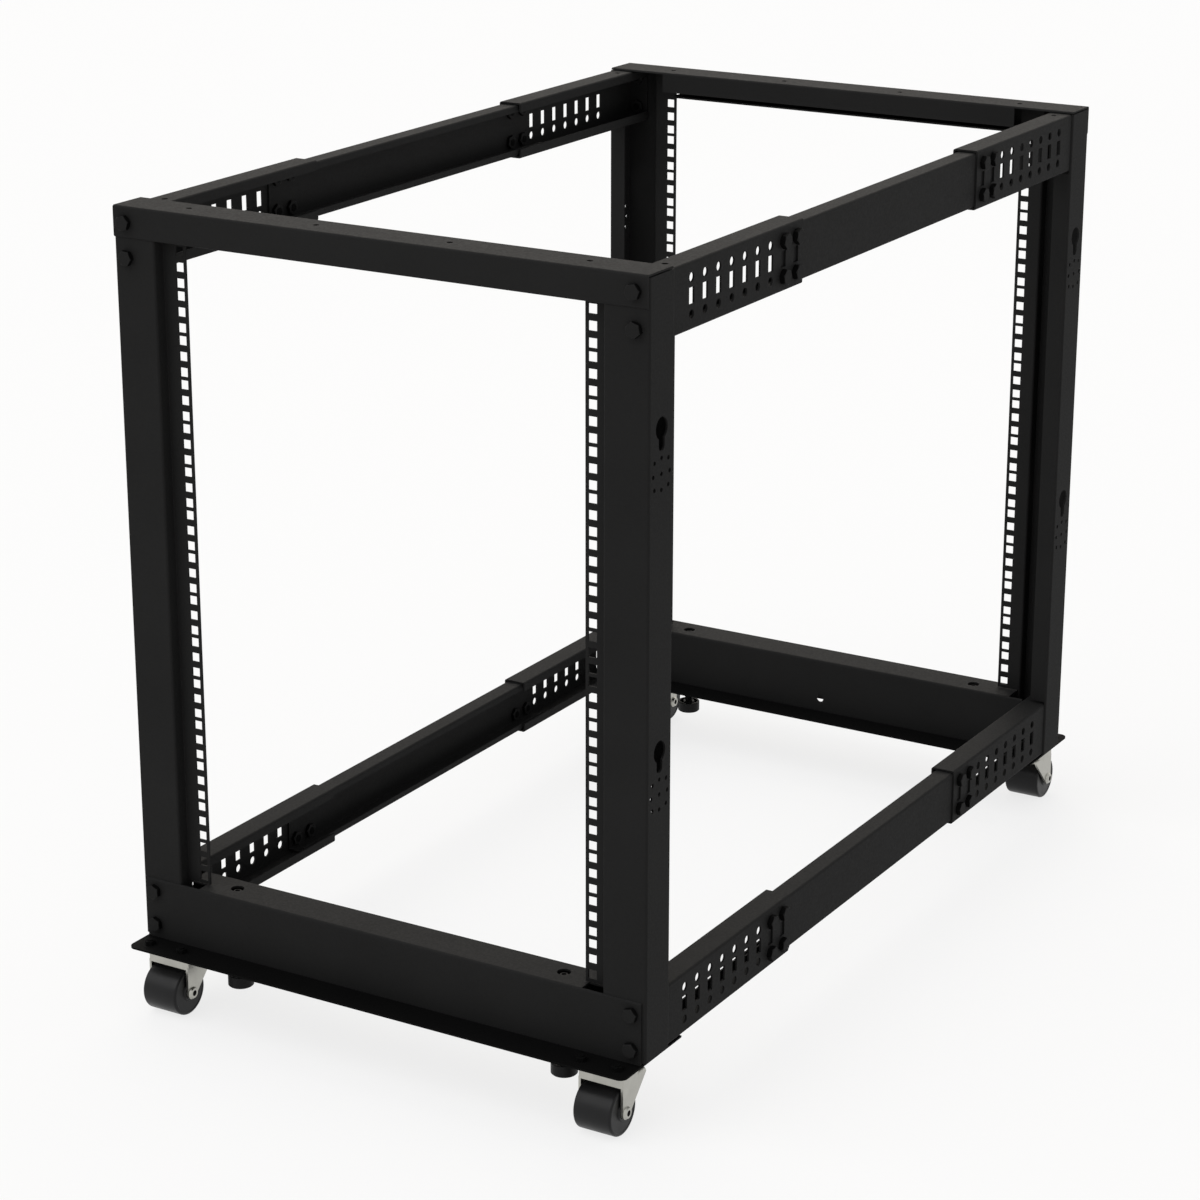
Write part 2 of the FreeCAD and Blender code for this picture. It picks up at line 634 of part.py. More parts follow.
def caster_fork():
    """The turning half of a caster: a folded fork, the lower half of the raceway and the axle."""
    middle = FORK_SHEET / 2
    leg_x = fork_outer - middle
    foot = axle_z - FORK_BOSS - SHEET
    path = [
        (swivel_x - leg_x, foot),
        (swivel_x - leg_x, crown_top - middle),
        (swivel_x + leg_x, crown_top - middle),
        (swivel_x + leg_x, foot),
    ]
    front = axle_y - FORK_BOSS - SHEET
    back = swivel_y + FORK_BACK + SHEET
    blank = folded(path, "Y", front, back, FORK_SHEET, FORK_BEND)
    side = fork_outline()
    side.translate(X_AXIS * (swivel_x - fork_outer - SHEET))
    legs = blank.common(side.extrude(X_AXIS * (2 * fork_outer + 2 * SHEET)))
    seat = turned(
        [
            (0, crown_bottom + middle),
            (RACE_LIP_D / 2, crown_bottom + middle),
            (RACE_LIP_D / 2, crown_top),
            (RACE_LIP_D / 2 - SHEET, race_seat_top),
            (0, race_seat_top),
        ],
        (swivel_x, swivel_y, 0),
    )
    hole_d = KINGPIN_D + 2 * KINGPIN_CLEARANCE
    hole = rod(hole_d, (swivel_x, swivel_y, crown_bottom - THROUGH), (swivel_x, swivel_y, race_seat_top + THROUGH))
    crown = joined([legs, seat]).cut(hole)
    outer = fork_outer + AXLE_HEAD
    axle = turned(
        [
            (0, -outer),
            (AXLE_HEAD_D / 2 - AXLE_HEAD / 2, -outer),
            (AXLE_HEAD_D / 2, -fork_outer),
            (AXLE_D / 2, -fork_outer),
            (AXLE_D / 2, fork_outer),
            (AXLE_HEAD_D / 2, fork_outer),
            (AXLE_HEAD_D / 2 - AXLE_HEAD / 2, outer),
            (0, outer),
        ],
        (swivel_x, axle_y, axle_z),
        X_AXIS,
    )
    return joined([crown, axle])


def caster_wheel():
    """A solid wheel with a rounded tread, dished sides and a hub that runs on the axle."""
    half = WHEEL_WIDTH / 2
    radius = WHEEL_D / 2
    hub = fork_inner - HUB_GAP
    bore = AXLE_D / 2 + AXLE_CLEARANCE
    rim = radius - WHEEL_RIM
    floor = half - WHEEL_DISH
    slope = WHEEL_DISH / 2
    outline = [
        (bore, hub),
        (HUB_D / 2 - slope, hub),
        (HUB_D / 2, floor),
        (rim - slope, floor),
        (rim, half),
        (radius, half),
    ]
    outline += [(r, -x) for r, x in reversed(outline)]
    shape = turned(outline, (swivel_x, axle_y, axle_z), X_AXIS)
    edges = []
    for edge in shape.Edges:
        if isinstance(edge.Curve, Part.Circle) and abs(edge.Curve.Radius - radius) < SHEET / 100:
            edges.append(edge)
    return shape.makeFillet(WHEEL_EDGE, edges)


# ---- levelling feet --------------------------------------------------------------------------
def levelling_foot():
    """A disc on a threaded stud, with a hexagon below and a key socket in its upper end."""
    radius = FOOT_D / 2
    stud = STUD_D / 2
    low = FOOT_CLEARANCE
    rim = low + FOOT_BASE
    cone = rim + FOOT_CONE
    outline = [
        (0, low),
        (radius - FOOT_EDGE, low),
        (radius, low + FOOT_EDGE),
        (radius, rim - FOOT_EDGE),
        (radius - FOOT_EDGE, rim),
        (FOOT_HEX / 2, cone),
        (stud, cone),
        (stud, stud_top - STUD_CHAMFER),
        (stud - STUD_CHAMFER, stud_top),
        (0, stud_top),
    ]
    shape = turned(outline, (foot_x, foot_y, 0))
    collar = hexagon(FOOT_HEX, (foot_x, foot_y), rim, cone + FOOT_HEX_HEIGHT)
    socket = hexagon(SOCKET, (foot_x, foot_y), stud_top - SOCKET_DEPTH, stud_top + SHEET)
    return opened(joined([shape, collar]), [socket])


# ---- the whole rack --------------------------------------------------------------------------
def every_place(name, shape):
    """A front right piece at its four places: front and rear, left and right."""
    pieces = {}
    for end in ("front", "rear"):
        for side in ("left", "right"):
            copy = shape
            if side == "left":
                copy = copy.mirror(ORIGIN, X_AXIS)
            if end == "rear":
                copy = copy.mirror(ORIGIN, Y_AXIS)
            pieces[f"{name}_{end}_{side}"] = copy
    return pieces


def front_and_rear(name, shape):
    """A front piece and its mirror image at the rear."""
    return {f"{name}_front": shape, f"{name}_rear": shape.mirror(ORIGIN, Y_AXIS)}


def left_and_right(name, shape):
    """A right piece and its mirror image on the left."""
    return {f"{name}_left": shape.mirror(ORIGIN, X_AXIS), f"{name}_right": shape}


def rack():
    """Every piece of the rack by name."""
    bracket = side_bracket()
    rail = side_rail()
    pieces = {}
    pieces.update(every_place("post", post()))
    pieces.update(front_and_rear("top_crossbar", top_crossbar()))
    pieces.update(front_and_rear("base_channel", base_channel()))
    pieces.update(front_and_rear("foot_plate", foot_plate()))
    pieces.update(every_place("upper_bracket", bracket))
    pieces.update(every_place("lower_bracket", lowered(bracket)))
    pieces.update(left_and_right("upper_rail", rail))
    pieces.update(left_and_right("lower_rail", lowered(rail)))
    pieces.update(every_place("caster_plate", caster_plate()))
    pieces.update(every_place("caster_fork", caster_fork()))
    pieces.update(every_place("caster_wheel", caster_wheel()))
    pieces.update(every_place("levelling_foot", levelling_foot()))
    return pieces


def solid(name, shape):
    """The one valid solid that a piece has to be."""
    if len(shape.Solids) != 1 or not shape.isValid():
        raise ValueError(f"{name} has {len(shape.Solids)} solids, valid: {shape.isValid()}")
    return shape.Solids[0]


os.makedirs("parts", exist_ok=True)
for name, shape in rack().items():
    solid(name, shape).exportStep(os.path.join("parts", f"{name}.step"))
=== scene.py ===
import math
from functools import partial

import bmesh
import bpy
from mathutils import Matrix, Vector


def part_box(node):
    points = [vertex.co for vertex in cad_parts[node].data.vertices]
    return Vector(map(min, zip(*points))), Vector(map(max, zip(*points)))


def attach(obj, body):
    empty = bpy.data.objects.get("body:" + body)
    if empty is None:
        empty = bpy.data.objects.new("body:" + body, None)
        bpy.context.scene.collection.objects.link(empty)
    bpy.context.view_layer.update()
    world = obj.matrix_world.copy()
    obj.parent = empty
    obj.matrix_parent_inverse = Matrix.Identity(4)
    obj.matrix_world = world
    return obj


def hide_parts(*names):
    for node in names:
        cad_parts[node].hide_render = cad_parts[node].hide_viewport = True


bl_info = {
    "name": "Open frame rack finish",
    "version": (1, 0, 0),
    "blender": (4, 5, 0),
    "location": "3D View > Sidebar > Rack",
    "description": "Coats the sheet metal of a rack and adds its bolts, wheels and feet",
    "category": "Object",
}

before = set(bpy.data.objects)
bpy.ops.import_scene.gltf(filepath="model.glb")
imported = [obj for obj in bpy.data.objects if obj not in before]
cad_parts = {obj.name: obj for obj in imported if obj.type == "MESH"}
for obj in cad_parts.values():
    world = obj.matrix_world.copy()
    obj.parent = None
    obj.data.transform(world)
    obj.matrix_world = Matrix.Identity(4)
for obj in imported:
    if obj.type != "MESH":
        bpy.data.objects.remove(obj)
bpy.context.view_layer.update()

MM = 0.001
ENDS = ("front", "rear")
SIDES = ("left", "right")
CORNERS = tuple((end, side) for end in ENDS for side in SIDES)
RACK = "rack"

SHEET = 2 * MM
CASTER_SHEET = 2.7 * MM
CASTER_BOLT_REACH = (20 * MM, 26 * MM)  # middle of a caster plate to its bolts, across and along
CASTER_BOLT_WASHER = 1.2  # washer face of a caster bolt, as a share of its flats
CASTER_BOLT_THREAD = 0.6  # thread of a caster bolt, as a share of its flats
POST_BOLT_INSET = 15 * MM  # outside of the post to the bolts
BAR_BOLT_DROPS = (16 * MM, 51 * MM)  # top of the crossbar to its two bolts
BASE_BOLT_DROPS = (13.6 * MM, 50.2 * MM)  # top of the base channel to its two bolts
RAIL_BOLT_MARGINS = (14.8 * MM, 40.2 * MM)  # free end of a bracket to its two columns of bolts
RAIL_BOLT_ROW = 17.3 * MM  # middle of a bracket to the rows of bolts

CLOSED = 0.001 * MM  # radius at which the end of a turned piece is closed
WELD_REACH = 1e-6  # vertices nearer than this are joined
SMOOTH_UP_TO = math.radians(35)  # edges sharper than this stay sharp
BOLT_SMOOTH_UP_TO = math.radians(30)
HEXAGON_TOP = 0.475  # radius of a hexagon's round top, as a share of its width across the flats
HALF_SIDE = math.radians(30)  # half the angle that one side of a hexagon takes up
CHAMFER_SLOPE = math.radians(30)


# ---- small tools -----------------------------------------------------------------------------
def srgb(code):
    """A linear RGBA colour from an sRGB hex value."""
    channels = [int(code[i : i + 2], 16) / 255 for i in (1, 3, 5)]
    linear = [c / 12.92 if c <= 0.04045 else ((c + 0.055) / 1.055) ** 2.4 for c in channels]
    return (*linear, 1.0)


def scaled(colour, share):
    """A colour made darker or lighter."""
    return tuple(c * share for c in colour[:3]) + (1.0,)


def add_node(tree, kind, settings=None, inputs=None):
    """Adds a node to a tree, sets its properties, and sets or links its inputs."""
    node = tree.nodes.new(kind)
    for name, value in (settings or {}).items():
        setattr(node, name, value)
    for key, value in (inputs or {}).items():
        for one in value if isinstance(value, list) else [value]:
            if isinstance(one, bpy.types.NodeSocket):
                tree.links.new(one, node.inputs[key])
            else:
                node.inputs[key].default_value = one
    return node


def math_node(tree, operation, *values):
    """Result of an operation on values or sockets."""
    inputs = dict(enumerate(values))
    return add_node(tree, "ShaderNodeMath", {"operation": operation}, inputs).outputs[0]


def new_material(name):
    """An empty node material, its tree, and its Principled shader, linked to the output."""
    material = bpy.data.materials.new(name)
    material.use_nodes = True
    tree = material.node_tree
    return material, tree, tree.nodes["Principled BSDF"]


def set_material(obj, material):
    """Gives the whole of an object one material."""
    obj.data.materials.clear()
    obj.data.materials.append(material)


def add_object(name, data):
    """An object at the origin of the scene."""
    obj = bpy.data.objects.new(name, data)
    bpy.context.scene.collection.objects.link(obj)
    return obj


def mesh_object(name, vertices, faces, material, smooth=True):
    """A mesh object at the origin, with its faces pointing outwards."""
    mesh = bpy.data.meshes.new(name)
    mesh.from_pydata([tuple(v) for v in vertices], [], faces)
    work = bmesh.new()
    work.from_mesh(mesh)
    bmesh.ops.remove_doubles(work, verts=work.verts, dist=WELD_REACH)
    bmesh.ops.recalc_face_normals(work, faces=work.faces)
    work.to_mesh(mesh)
    work.free()
    obj = add_object(name, mesh)
    set_material(obj, material)
    if smooth:
        mesh.shade_smooth()
        mesh.set_sharp_from_angle(angle=SMOOTH_UP_TO)
    return obj


def joined(*shapes):
    """Vertices and faces of several shapes as one."""
    vertices = []
    faces = []
    for more_vertices, more_faces in shapes:
        faces += [[len(vertices) + i for i in face] for face in more_faces]
        vertices += more_vertices
    return vertices, faces


def side_sign(side):
    """-1 on the left of the rack and 1 on the right."""
    return -1 if side == "left" else 1


def end_sign(end):
    """-1 at the front of the rack and 1 at the rear."""
    return -1 if end == "front" else 1


# ---- settings --------------------------------------------------------------------------------
def length(name, description, millimetres):
    """A length setting."""
    return bpy.props.FloatProperty(
        name=name, description=description, default=millimetres * MM, unit="LENGTH"
    )


def turn(name, description, angle):
    """An angle setting."""
    return bpy.props.FloatProperty(
        name=name, description=description, default=angle, unit="ROTATION"
    )


def colour_of(name, description, code):
    """A colour setting."""
    return bpy.props.FloatVectorProperty(
        name=name, description=description, subtype="COLOR", size=4, default=srgb(code)
    )


class FinishSettings(bpy.types.PropertyGroup):
    """Colours of the rack's finishes."""

    coat: colour_of("Powder coat", "Colour of the coated sheet metal", "#1F1F1F")
    # The darkened coat is painted shade: the powder coat made darker for foot plates, bolt flats,
    # caster nuts and axle ends.
    thin: colour_of("Shade-darkened coat", "Colour of the foot plates and of the flats of bolts", "#0B0B0B")
    zinc: colour_of("Zinc plate", "Colour of the plated casters", "#B6B5AE")
    nylon: colour_of("Wheel nylon", "Colour of the moulded wheels", "#151516")
    oxide: colour_of("Black oxide", "Colour of the feet and of the caster bolts' heads", "#1A1A1A")


class BoltSettings(bpy.types.PropertyGroup):
    """Sizes of the hexagon bolts and nuts that hold the rack together."""

    across_flats: length("Across flats", "Width of a bolt head", 14)
    head_height: length("Head height", "Height of a bolt head", 5)
    nut_height: length("Nut height", "Height of a nut inside the frame", 3)
    washer_width: length("Washer width", "Diameter of the washer face", 14)
    washer_height: length("Washer height", "Height of the washer face", 0.8)
    thread_width: length("Thread width", "Diameter of the threaded end", 8)
    thread_sunk: length("Thread sunk", "End of the thread below the top of a head", 0.5)
    thread_out: length("Thread out", "End of the thread beyond a nut", 0.5)
    largest_turn: turn("Largest turn", "How far one head is turned from the next", 1.0)


class CasterSettings(bpy.types.PropertyGroup):
    """Sizes of the wheels, of the forks' aprons and of the bolts that hold the casters."""

    tread_edge: length("Tread edge", "Radius of the rounded edges of the tread", 2.5)
    hub_rise: length("Hub rise", "How far the hub stands beyond the side of the wheel", 1.1)
    hub_width: length("Hub width", "Diameter of the hub", 20)
    bore: length("Bore", "Diameter of the hole for the axle", 8.16)
    dish: length("Dish", "Depth of the shallow hollow in the side of the wheel", 0.4)
    apron_low: length("Apron low edge", "Floor to the lower edge of the fork's apron", 52.6)
    apron_high: length("Apron high edge", "Floor to the upper edge of the fork's apron", 64)
    apron_sheet: length("Apron sheet", "Thickness of the fork's apron", 2)
    apron_proud: length("Apron proud", "How far the apron stands outside the legs", 0.2)
    apron_corner: length("Apron corner", "Radius of the apron's two square corners", 2)
    axle_head: length("Axle head", "Height of the axle's riveted ends", 2.4)
    axle_bore: length("Axle bore", "Diameter of the hollow in the axle", 6)
    bolt_flats: length("Bolt flats", "Width of a caster bolt's head and nut", 10)
    bolt_height: length("Nut height", "Height of a caster bolt's nut", 4)
    bolt_washer: length("Bolt washer", "Height of a caster bolt's washer face", 0.4)
    thread_out: length("Thread out", "End of a caster bolt's thread beyond its nut", 1)
    flat_head: length("Flat head", "Height of a caster bolt's flat head below the plate", 2)


class FootSettings(bpy.types.PropertyGroup):
    """Sizes of the levelling feet."""

    cup_width: length("Cup width", "Diameter of the cup", 27)
    cup_height: length("Cup height", "Height of the cup", 12.5)
    cup_wall: length("Cup wall", "Thickness of the cup's rim", 2.5)
    chamfer: length("Chamfer", "Width of the chamfers", 1)
    across_flats: length("Across flats", "Width of the adjusting hexagon", 14)
    hexagon_height: length("Hexagon height", "Height of the hexagon, from the well of the cup", 4)
    thread_width: length("Thread width", "Outer diameter of the thread", 10)
    pitch: length("Pitch", "Rise of the thread in one turn", 1.5)
    thread_depth: length("Thread depth", "Depth of the thread", 0.9)
    socket: length("Socket", "Across the flats of the key socket", 5)
    socket_depth: length("Socket depth", "Depth of the key socket", 6)


class StageSettings(bpy.types.PropertyGroup):
    """Camera, floor and light of the picture."""

    azimuth: turn("Azimuth", "Camera from the front towards the right", math.radians(30.86))
    elevation: turn("Elevation", "Camera above the horizon", math.radians(18.39))
    distance: length("Distance", "Camera to the point it looks at", 3546.5)
    look_at: bpy.props.FloatVectorProperty(
        name="Look at",
        description="Point that the camera looks at",
        size=3,
        default=(-0.0322, -0.0423, 0.3624),
        unit="LENGTH",
    )
    lens: bpy.props.FloatProperty(
        name="Lens", description="Focal length in millimetres", default=97.76
    )
    shift: bpy.props.FloatVectorProperty(
        name="Shift",
        description="Shift of the lens, as a share of the picture's width",
        size=2,
        default=(0.0076, -0.0052),
    )
    floor: colour_of("Floor", "Colour of the floor", "#FBFBFB")
    floor_white: bpy.props.FloatProperty(
        name="Floor white",
        description="Share of plain white in the seen floor",
        default=0.8,
        subtype="FACTOR",
        min=0,
        max=1,
    )
    room_low: bpy.props.FloatProperty(
        name="Room low", description="Light of the room at the horizon", default=0.16
    )
    room_high: bpy.props.FloatProperty(
        name="Room high", description="Light of the room overhead", default=0.9
    )


# ---- finishes --------------------------------------------------------------------------------
def object_place(tree):
    """Place on the object, for the patterns of its finish."""
    return add_node(tree, "ShaderNodeTexCoord").outputs["Object"]


def noise(tree, place, size, detail):
    """Noise with forms of about the given size."""
    inputs = {"Vector": place, "Scale": 1 / size, "Detail": detail}
    return add_node(tree, "ShaderNodeTexNoise", inputs=inputs).outputs["Fac"]


def shade(tree, shader, amount, dark, light):
    """Lets the colour of a shader run from dark to light."""
    inputs = {0: amount, 6: dark, 7: light}
    mixed = add_node(tree, "ShaderNodeMix", {"data_type": "RGBA"}, inputs).outputs[2]
    tree.links.new(mixed, shader.inputs["Base Color"])


def roughen(tree, shader, amount, low, high):
    """Lets the roughness of a shader run from low to high over the middle of a noise."""
    inputs = {"Value": amount, "From Min": 0.3, "From Max": 0.7, "To Min": low, "To Max": high}
    rough = add_node(tree, "ShaderNodeMapRange", inputs=inputs).outputs["Result"]
    tree.links.new(rough, shader.inputs["Roughness"])


def emboss(tree, shader, height, strength, distance):
    """Gives a shader a relief."""
    inputs = {"Strength": strength, "Distance": distance, "Height": height}
    bump = add_node(tree, "ShaderNodeBump", inputs=inputs).outputs["Normal"]
    tree.links.new(bump, shader.inputs["Normal"])


def powder_coat(name, colour, gloss=0.06):
    """Black powder coat on steel: matt and even, with the faint orange peel of a baked coat."""
    material, tree, shader = new_material(name)
    place = object_place(tree)
    # The coat's thickness drifts over a hand's width, which shows as a slight change of shade.
    drift = noise(tree, place, 90 * MM, 2.0)
    shade(tree, shader, drift, scaled(colour, 0.85), scaled(colour, 1.15))
    # Orange peel is about 1.5 mm; it is drawn 2.5 mm wide so that it shows at this distance.
    peel = noise(tree, place, 2.5 * MM, 3.0)
    roughen(tree, shader, peel, 0.6, 0.72)
    emboss(tree, shader, peel, 0.25, 0.15 * MM)
    shader.inputs["Specular IOR Level"].default_value = gloss
    return material


def shade_darkened_coat(name, colour):
    """Powder coat made darker, with less gloss, as painted shade: on foot plates and the flats of
    bolts.
    """
    return powder_coat(name, colour, gloss=0.03)


def zinc_plate(name, colour):
    """Bright zinc plate: a clear grey metal with a soft grain from rolling."""
    material, tree, shader = new_material(name)
    place = object_place(tree)
    inputs = {"Vector": place, "Scale": (1.0, 1.0, 0.08)}
    stretched = add_node(tree, "ShaderNodeMapping", inputs=inputs).outputs["Vector"]
    shade(tree, shader, noise(tree, place, 12 * MM, 3.0), scaled(colour, 0.8), tuple(colour))
    # Rolling grain is under 0.1 mm; it is drawn 0.8 mm wide so that it shows.
    roughen(tree, shader, noise(tree, stretched, 0.8 * MM, 2.0), 0.28, 0.42)
    shader.inputs["Metallic"].default_value = 1.0
    return material


def wheel_nylon(name, colour):
    """Moulded black nylon: smooth and slightly waxy, so that it takes a soft broad highlight."""
    material, tree, shader = new_material(name)
    place = object_place(tree)
    dust = noise(tree, place, 14 * MM, 4.0)
    shade(tree, shader, dust, scaled(colour, 0.85), scaled(colour, 1.3))
    roughen(tree, shader, dust, 0.3, 0.42)
    # Mould texture of about 0.6 mm, drawn 1 mm wide.
    emboss(tree, shader, noise(tree, place, 1 * MM, 2.0), 0.2, 0.05 * MM)
    shader.inputs["Specular IOR Level"].default_value = 0.2
    return material


def black_oxide(name, colour):
    """Black oxide on forged steel: a dark, slightly oily metal skin with small blotches."""
    material, tree, shader = new_material(name)
    blotch = noise(tree, object_place(tree), 4 * MM, 4.0)
    shade(tree, shader, blotch, scaled(colour, 0.7), scaled(colour, 1.3))
    roughen(tree, shader, blotch, 0.38, 0.55)
    shader.inputs["Specular IOR Level"].default_value = 0.12
    return material


FINISHES = {
    "coat": ("powder coated steel", powder_coat),
    # The darkened coat is painted shade and painted dark reflection, not a finish of its own.
    "thin": ("thin powder coat", shade_darkened_coat),
    "zinc": ("zinc plated steel", zinc_plate),
    "nylon": ("moulded nylon", wheel_nylon),
    "oxide": ("black oxide steel", black_oxide),
}


def finish(key):
    """The material of a finish, made on first use."""
    name, make = FINISHES[key]
    colours = bpy.context.scene.rack_finish
    return bpy.data.materials.get(name) or make(name, getattr(colours, key))


class RACK_OT_coat_frame(bpy.types.Operator):
    """Coats posts, crossbars, channels, plates, brackets and rails"""

    bl_idname = "rack.coat_frame"
    bl_label = "Coat the frame"

    def execute(self, context):
        coated = ("post", "top_crossbar", "base_channel", "foot_plate", "upper_", "lower_")
        for name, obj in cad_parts.items():
            if name.startswith(coated):
                # Foot plates take the darkened coat: painted shade for the shade and dark
                # reflection on their strips.
                set_material(obj, finish("thin" if name.startswith("foot_plate") else "coat"))
        return {"FINISHED"}


class RACK_OT_plate_casters(bpy.types.Operator):
    """Plates the caster plates and forks"""

    bl_idname = "rack.plate_casters"
    bl_label = "Plate the casters"

    def execute(self, context):
        for name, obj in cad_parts.items():
            if name.startswith(("caster_plate", "caster_fork")):
                set_material(obj, finish("zinc"))
        return {"FINISHED"}


# ---- turned pieces ---------------------------------------------------------------------------
WHEEL_SEGMENTS = 96
EDGE_STEPS = 8
BORE_SEGMENTS = 24
# The axle ends are closed by dark discs: painted shade for the hollow of the axle.
BORE_PROUD = 0.05 * MM  # dark disc outside the end of the axle
BORE_EDGE = (0.5 * MM, 0.2 * MM)  # edge of the disc: beyond the bore, and back into the axle
FOOT_SEGMENTS = 32
THREAD_STEPS = 4  # rings of the thread in one turn
ARC_STEP = 10  # degrees between the points of an apron's arcs


def across_hexagon(flats, angle):
    """Distance from the middle of a hexagon to its edge, in the direction of an angle."""
    return flats / 2 / math.cos((angle + HALF_SIDE) % (2 * HALF_SIDE) - HALF_SIDE)


def turned(rings, segments, axis, centre, loop=False):
    """Vertices and faces of a turned shape. Each ring is its shape, its size and its place along
    the axis: a "round" ring gives its radius and a "hexagon" its width across the flats."""
    vertices = []
    for shape, size, along in rings:
        for i in range(segments):
            angle = 2 * math.pi * i / segments
            reach = size if shape == "round" else across_hexagon(size, angle)
            across = (reach * math.cos(angle), reach * math.sin(angle))
            offset = (*across, along) if axis == "Z" else (along, *across)
            vertices.append(Vector(centre) + Vector(offset))
    return vertices, ring_faces(len(rings), segments, loop)


def ring_faces(rings, segments, loop):
    """Faces between rings of vertices; looped, the last ring joins the first one."""
    faces = []
    for ring in range(rings if loop else rings - 1):
        here = ring * segments
        there = (ring + 1) % rings * segments
        for i in range(segments):
            j = (i + 1) % segments
            faces.append((here + i, here + j, there + j, there + i))
    return faces


def wheel_rings(settings, hub, radius):
    """Rings of a wheel round its axle: from the bore over one side and the tread to the other."""
    half = hub - settings.hub_rise
    edge = settings.tread_edge
    bore = settings.bore / 2
    boss = settings.hub_width / 2
    dish = settings.dish
    rim = radius - edge - dish * 2
    outline = [
        (bore, hub - dish),
        (bore + dish, hub),
        (boss - settings.hub_rise, hub),
        (boss, half - dish),
        (rim - dish, half - dish),
        (rim, half),
        (radius - edge, half),
    ]
    for i in range(1, EDGE_STEPS + 1):
        angle = math.radians(90) * i / EDGE_STEPS
        outline.append(
            (radius - edge + edge * math.sin(angle), half - edge + edge * math.cos(angle))
        )
    rings = [("round", r, x) for r, x in outline]
    return rings + [("round", r, -x) for r, x in reversed(outline)]


class RACK_OT_build_wheels(bpy.types.Operator):
    """Turns the four nylon wheels"""

    bl_idname = "rack.build_wheels"
    bl_label = "Wheels"

    def execute(self, context):
        settings = context.scene.rack_casters
        for end, side in CORNERS:
            node = f"caster_wheel_{end}_{side}"
            low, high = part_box(node)
            rings = wheel_rings(settings, (high.x - low.x) / 2, (high.z - low.z) / 2)
            shape = turned(rings, WHEEL_SEGMENTS, "X", (low + high) / 2, loop=True)
            wheel = mesh_object(f"wheel_{end}_{side}", *shape, finish("nylon"))
            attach(wheel, f"{end} {side} caster wheel")
            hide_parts(node)
        return {"FINISHED"}


def apron_outline(half, front, corner):
    """Outline of a crown round its swivel: square in front with round corners, round behind."""
    outline = []
    for degrees in range(0, 90 + ARC_STEP, ARC_STEP):
        angle = math.radians(degrees)
        across = half - corner + corner * math.cos(angle)
        outline.append((across, front - corner + corner * math.sin(angle)))
    outline += [(-x, y) for x, y in reversed(outline)]
    for degrees in range(180, 360 + ARC_STEP, ARC_STEP):
        angle = math.radians(degrees)
        outline.append((half * math.cos(angle), half * math.sin(angle)))
    return outline


def apron(settings, half, front, swivel, outward):
    """Vertices and faces of a fork's apron, a sheet that stands along the crown's outline."""
    outline = apron_outline(half, front, settings.apron_corner)
    inner = 1 - settings.apron_sheet / half
    low, high = settings.apron_low, settings.apron_high
    rings = [(1, low), (1, high), (inner, high), (inner, low)]
    vertices = [
        Vector((swivel.x + x * share, swivel.y + outward * y * share, z))
        for share, z in rings
        for x, y in outline
    ]
    return vertices, ring_faces(len(rings), len(outline), loop=True)


def axle_shade_discs(settings, reach, axle):
    """Vertices and faces of dark discs over the open ends of a hollow axle: painted shade of the
    hollow.
    """
    bore = settings.axle_bore / 2
    beyond, back = BORE_EDGE
    rings = [
        ("round", CLOSED, reach + BORE_PROUD),
        ("round", bore, reach + BORE_PROUD),
        ("round", bore + beyond, reach - back),
    ]
    other = [(shape, size, -along) for shape, size, along in rings]
    return joined(*(turned(side, BORE_SEGMENTS, "X", axle) for side in (rings, other)))


class RACK_OT_add_aprons(bpy.types.Operator):
    """Adds the apron round the crown of each caster fork, and dark discs as painted shade in the
    open ends of the axles
    """

    bl_idname = "rack.add_aprons"
    bl_label = "Fork aprons"

    def execute(self, context):
        settings = context.scene.rack_casters
        for end, side in CORNERS:
            fork = f"{end} {side} caster fork"
            low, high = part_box(f"caster_fork_{end}_{side}")
            plate_low, plate_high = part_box(f"caster_plate_{end}_{side}")
            swivel = (plate_low + plate_high) / 2
            outward = end_sign(end)
            front = abs((low.y if outward < 0 else high.y) - swivel.y) + settings.apron_proud
            reach = (high.x - low.x) / 2
            half = reach - settings.axle_head + settings.apron_proud
            shape = apron(settings, half, front, swivel, outward)
            sheet = mesh_object(f"apron_{end}_{side}", *shape, finish("zinc"))
            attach(sheet, fork)
            wheel_low, wheel_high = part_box(f"caster_wheel_{end}_{side}")
            shape = axle_shade_discs(settings, reach, (wheel_low + wheel_high) / 2)
            # The disc takes the darkened coat: painted shade inside the hollow axle.
            shade_discs = mesh_object(f"axle_bores_{end}_{side}", *shape, finish("thin"))
            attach(shade_discs, fork)
        return {"FINISHED"}


def new_group(name, floats, integers, materials):
    """A node group that works on geometry, and the outputs of its input node by their names."""
    tree = bpy.data.node_groups.new(name, "GeometryNodeTree")
    sockets = [("Geometry", "Geometry")]
    sockets += [(one, "Float") for one in floats]
    sockets += [(one, "Int") for one in integers]
    sockets += [(one, "Material") for one in materials]
    for socket, kind in sockets:
        tree.interface.new_socket(socket, in_out="INPUT", socket_type=f"NodeSocket{kind}")
    tree.interface.new_socket("Geometry", in_out="OUTPUT", socket_type="NodeSocketGeometry")
    return tree, add_node(tree, "NodeGroupInput").outputs


def blank_tube(tree, around, along, ends="NONE"):
    """A tube of radius 1 from -1 to 1, with the place and the angle of its vertices."""
    tube = add_node(
        tree,
        "GeometryNodeMeshCylinder",
        {"fill_type": ends},
        {"Vertices": around, "Side Segments": along, "Radius": 1.0, "Depth": 2.0},
    ).outputs["Mesh"]
    position = add_node(tree, "GeometryNodeInputPosition").outputs[0]
    place = add_node(tree, "ShaderNodeSeparateXYZ", inputs={0: position}).outputs
    return tube, place, math_node(tree, "ARCTAN2", place["Y"], place["X"])


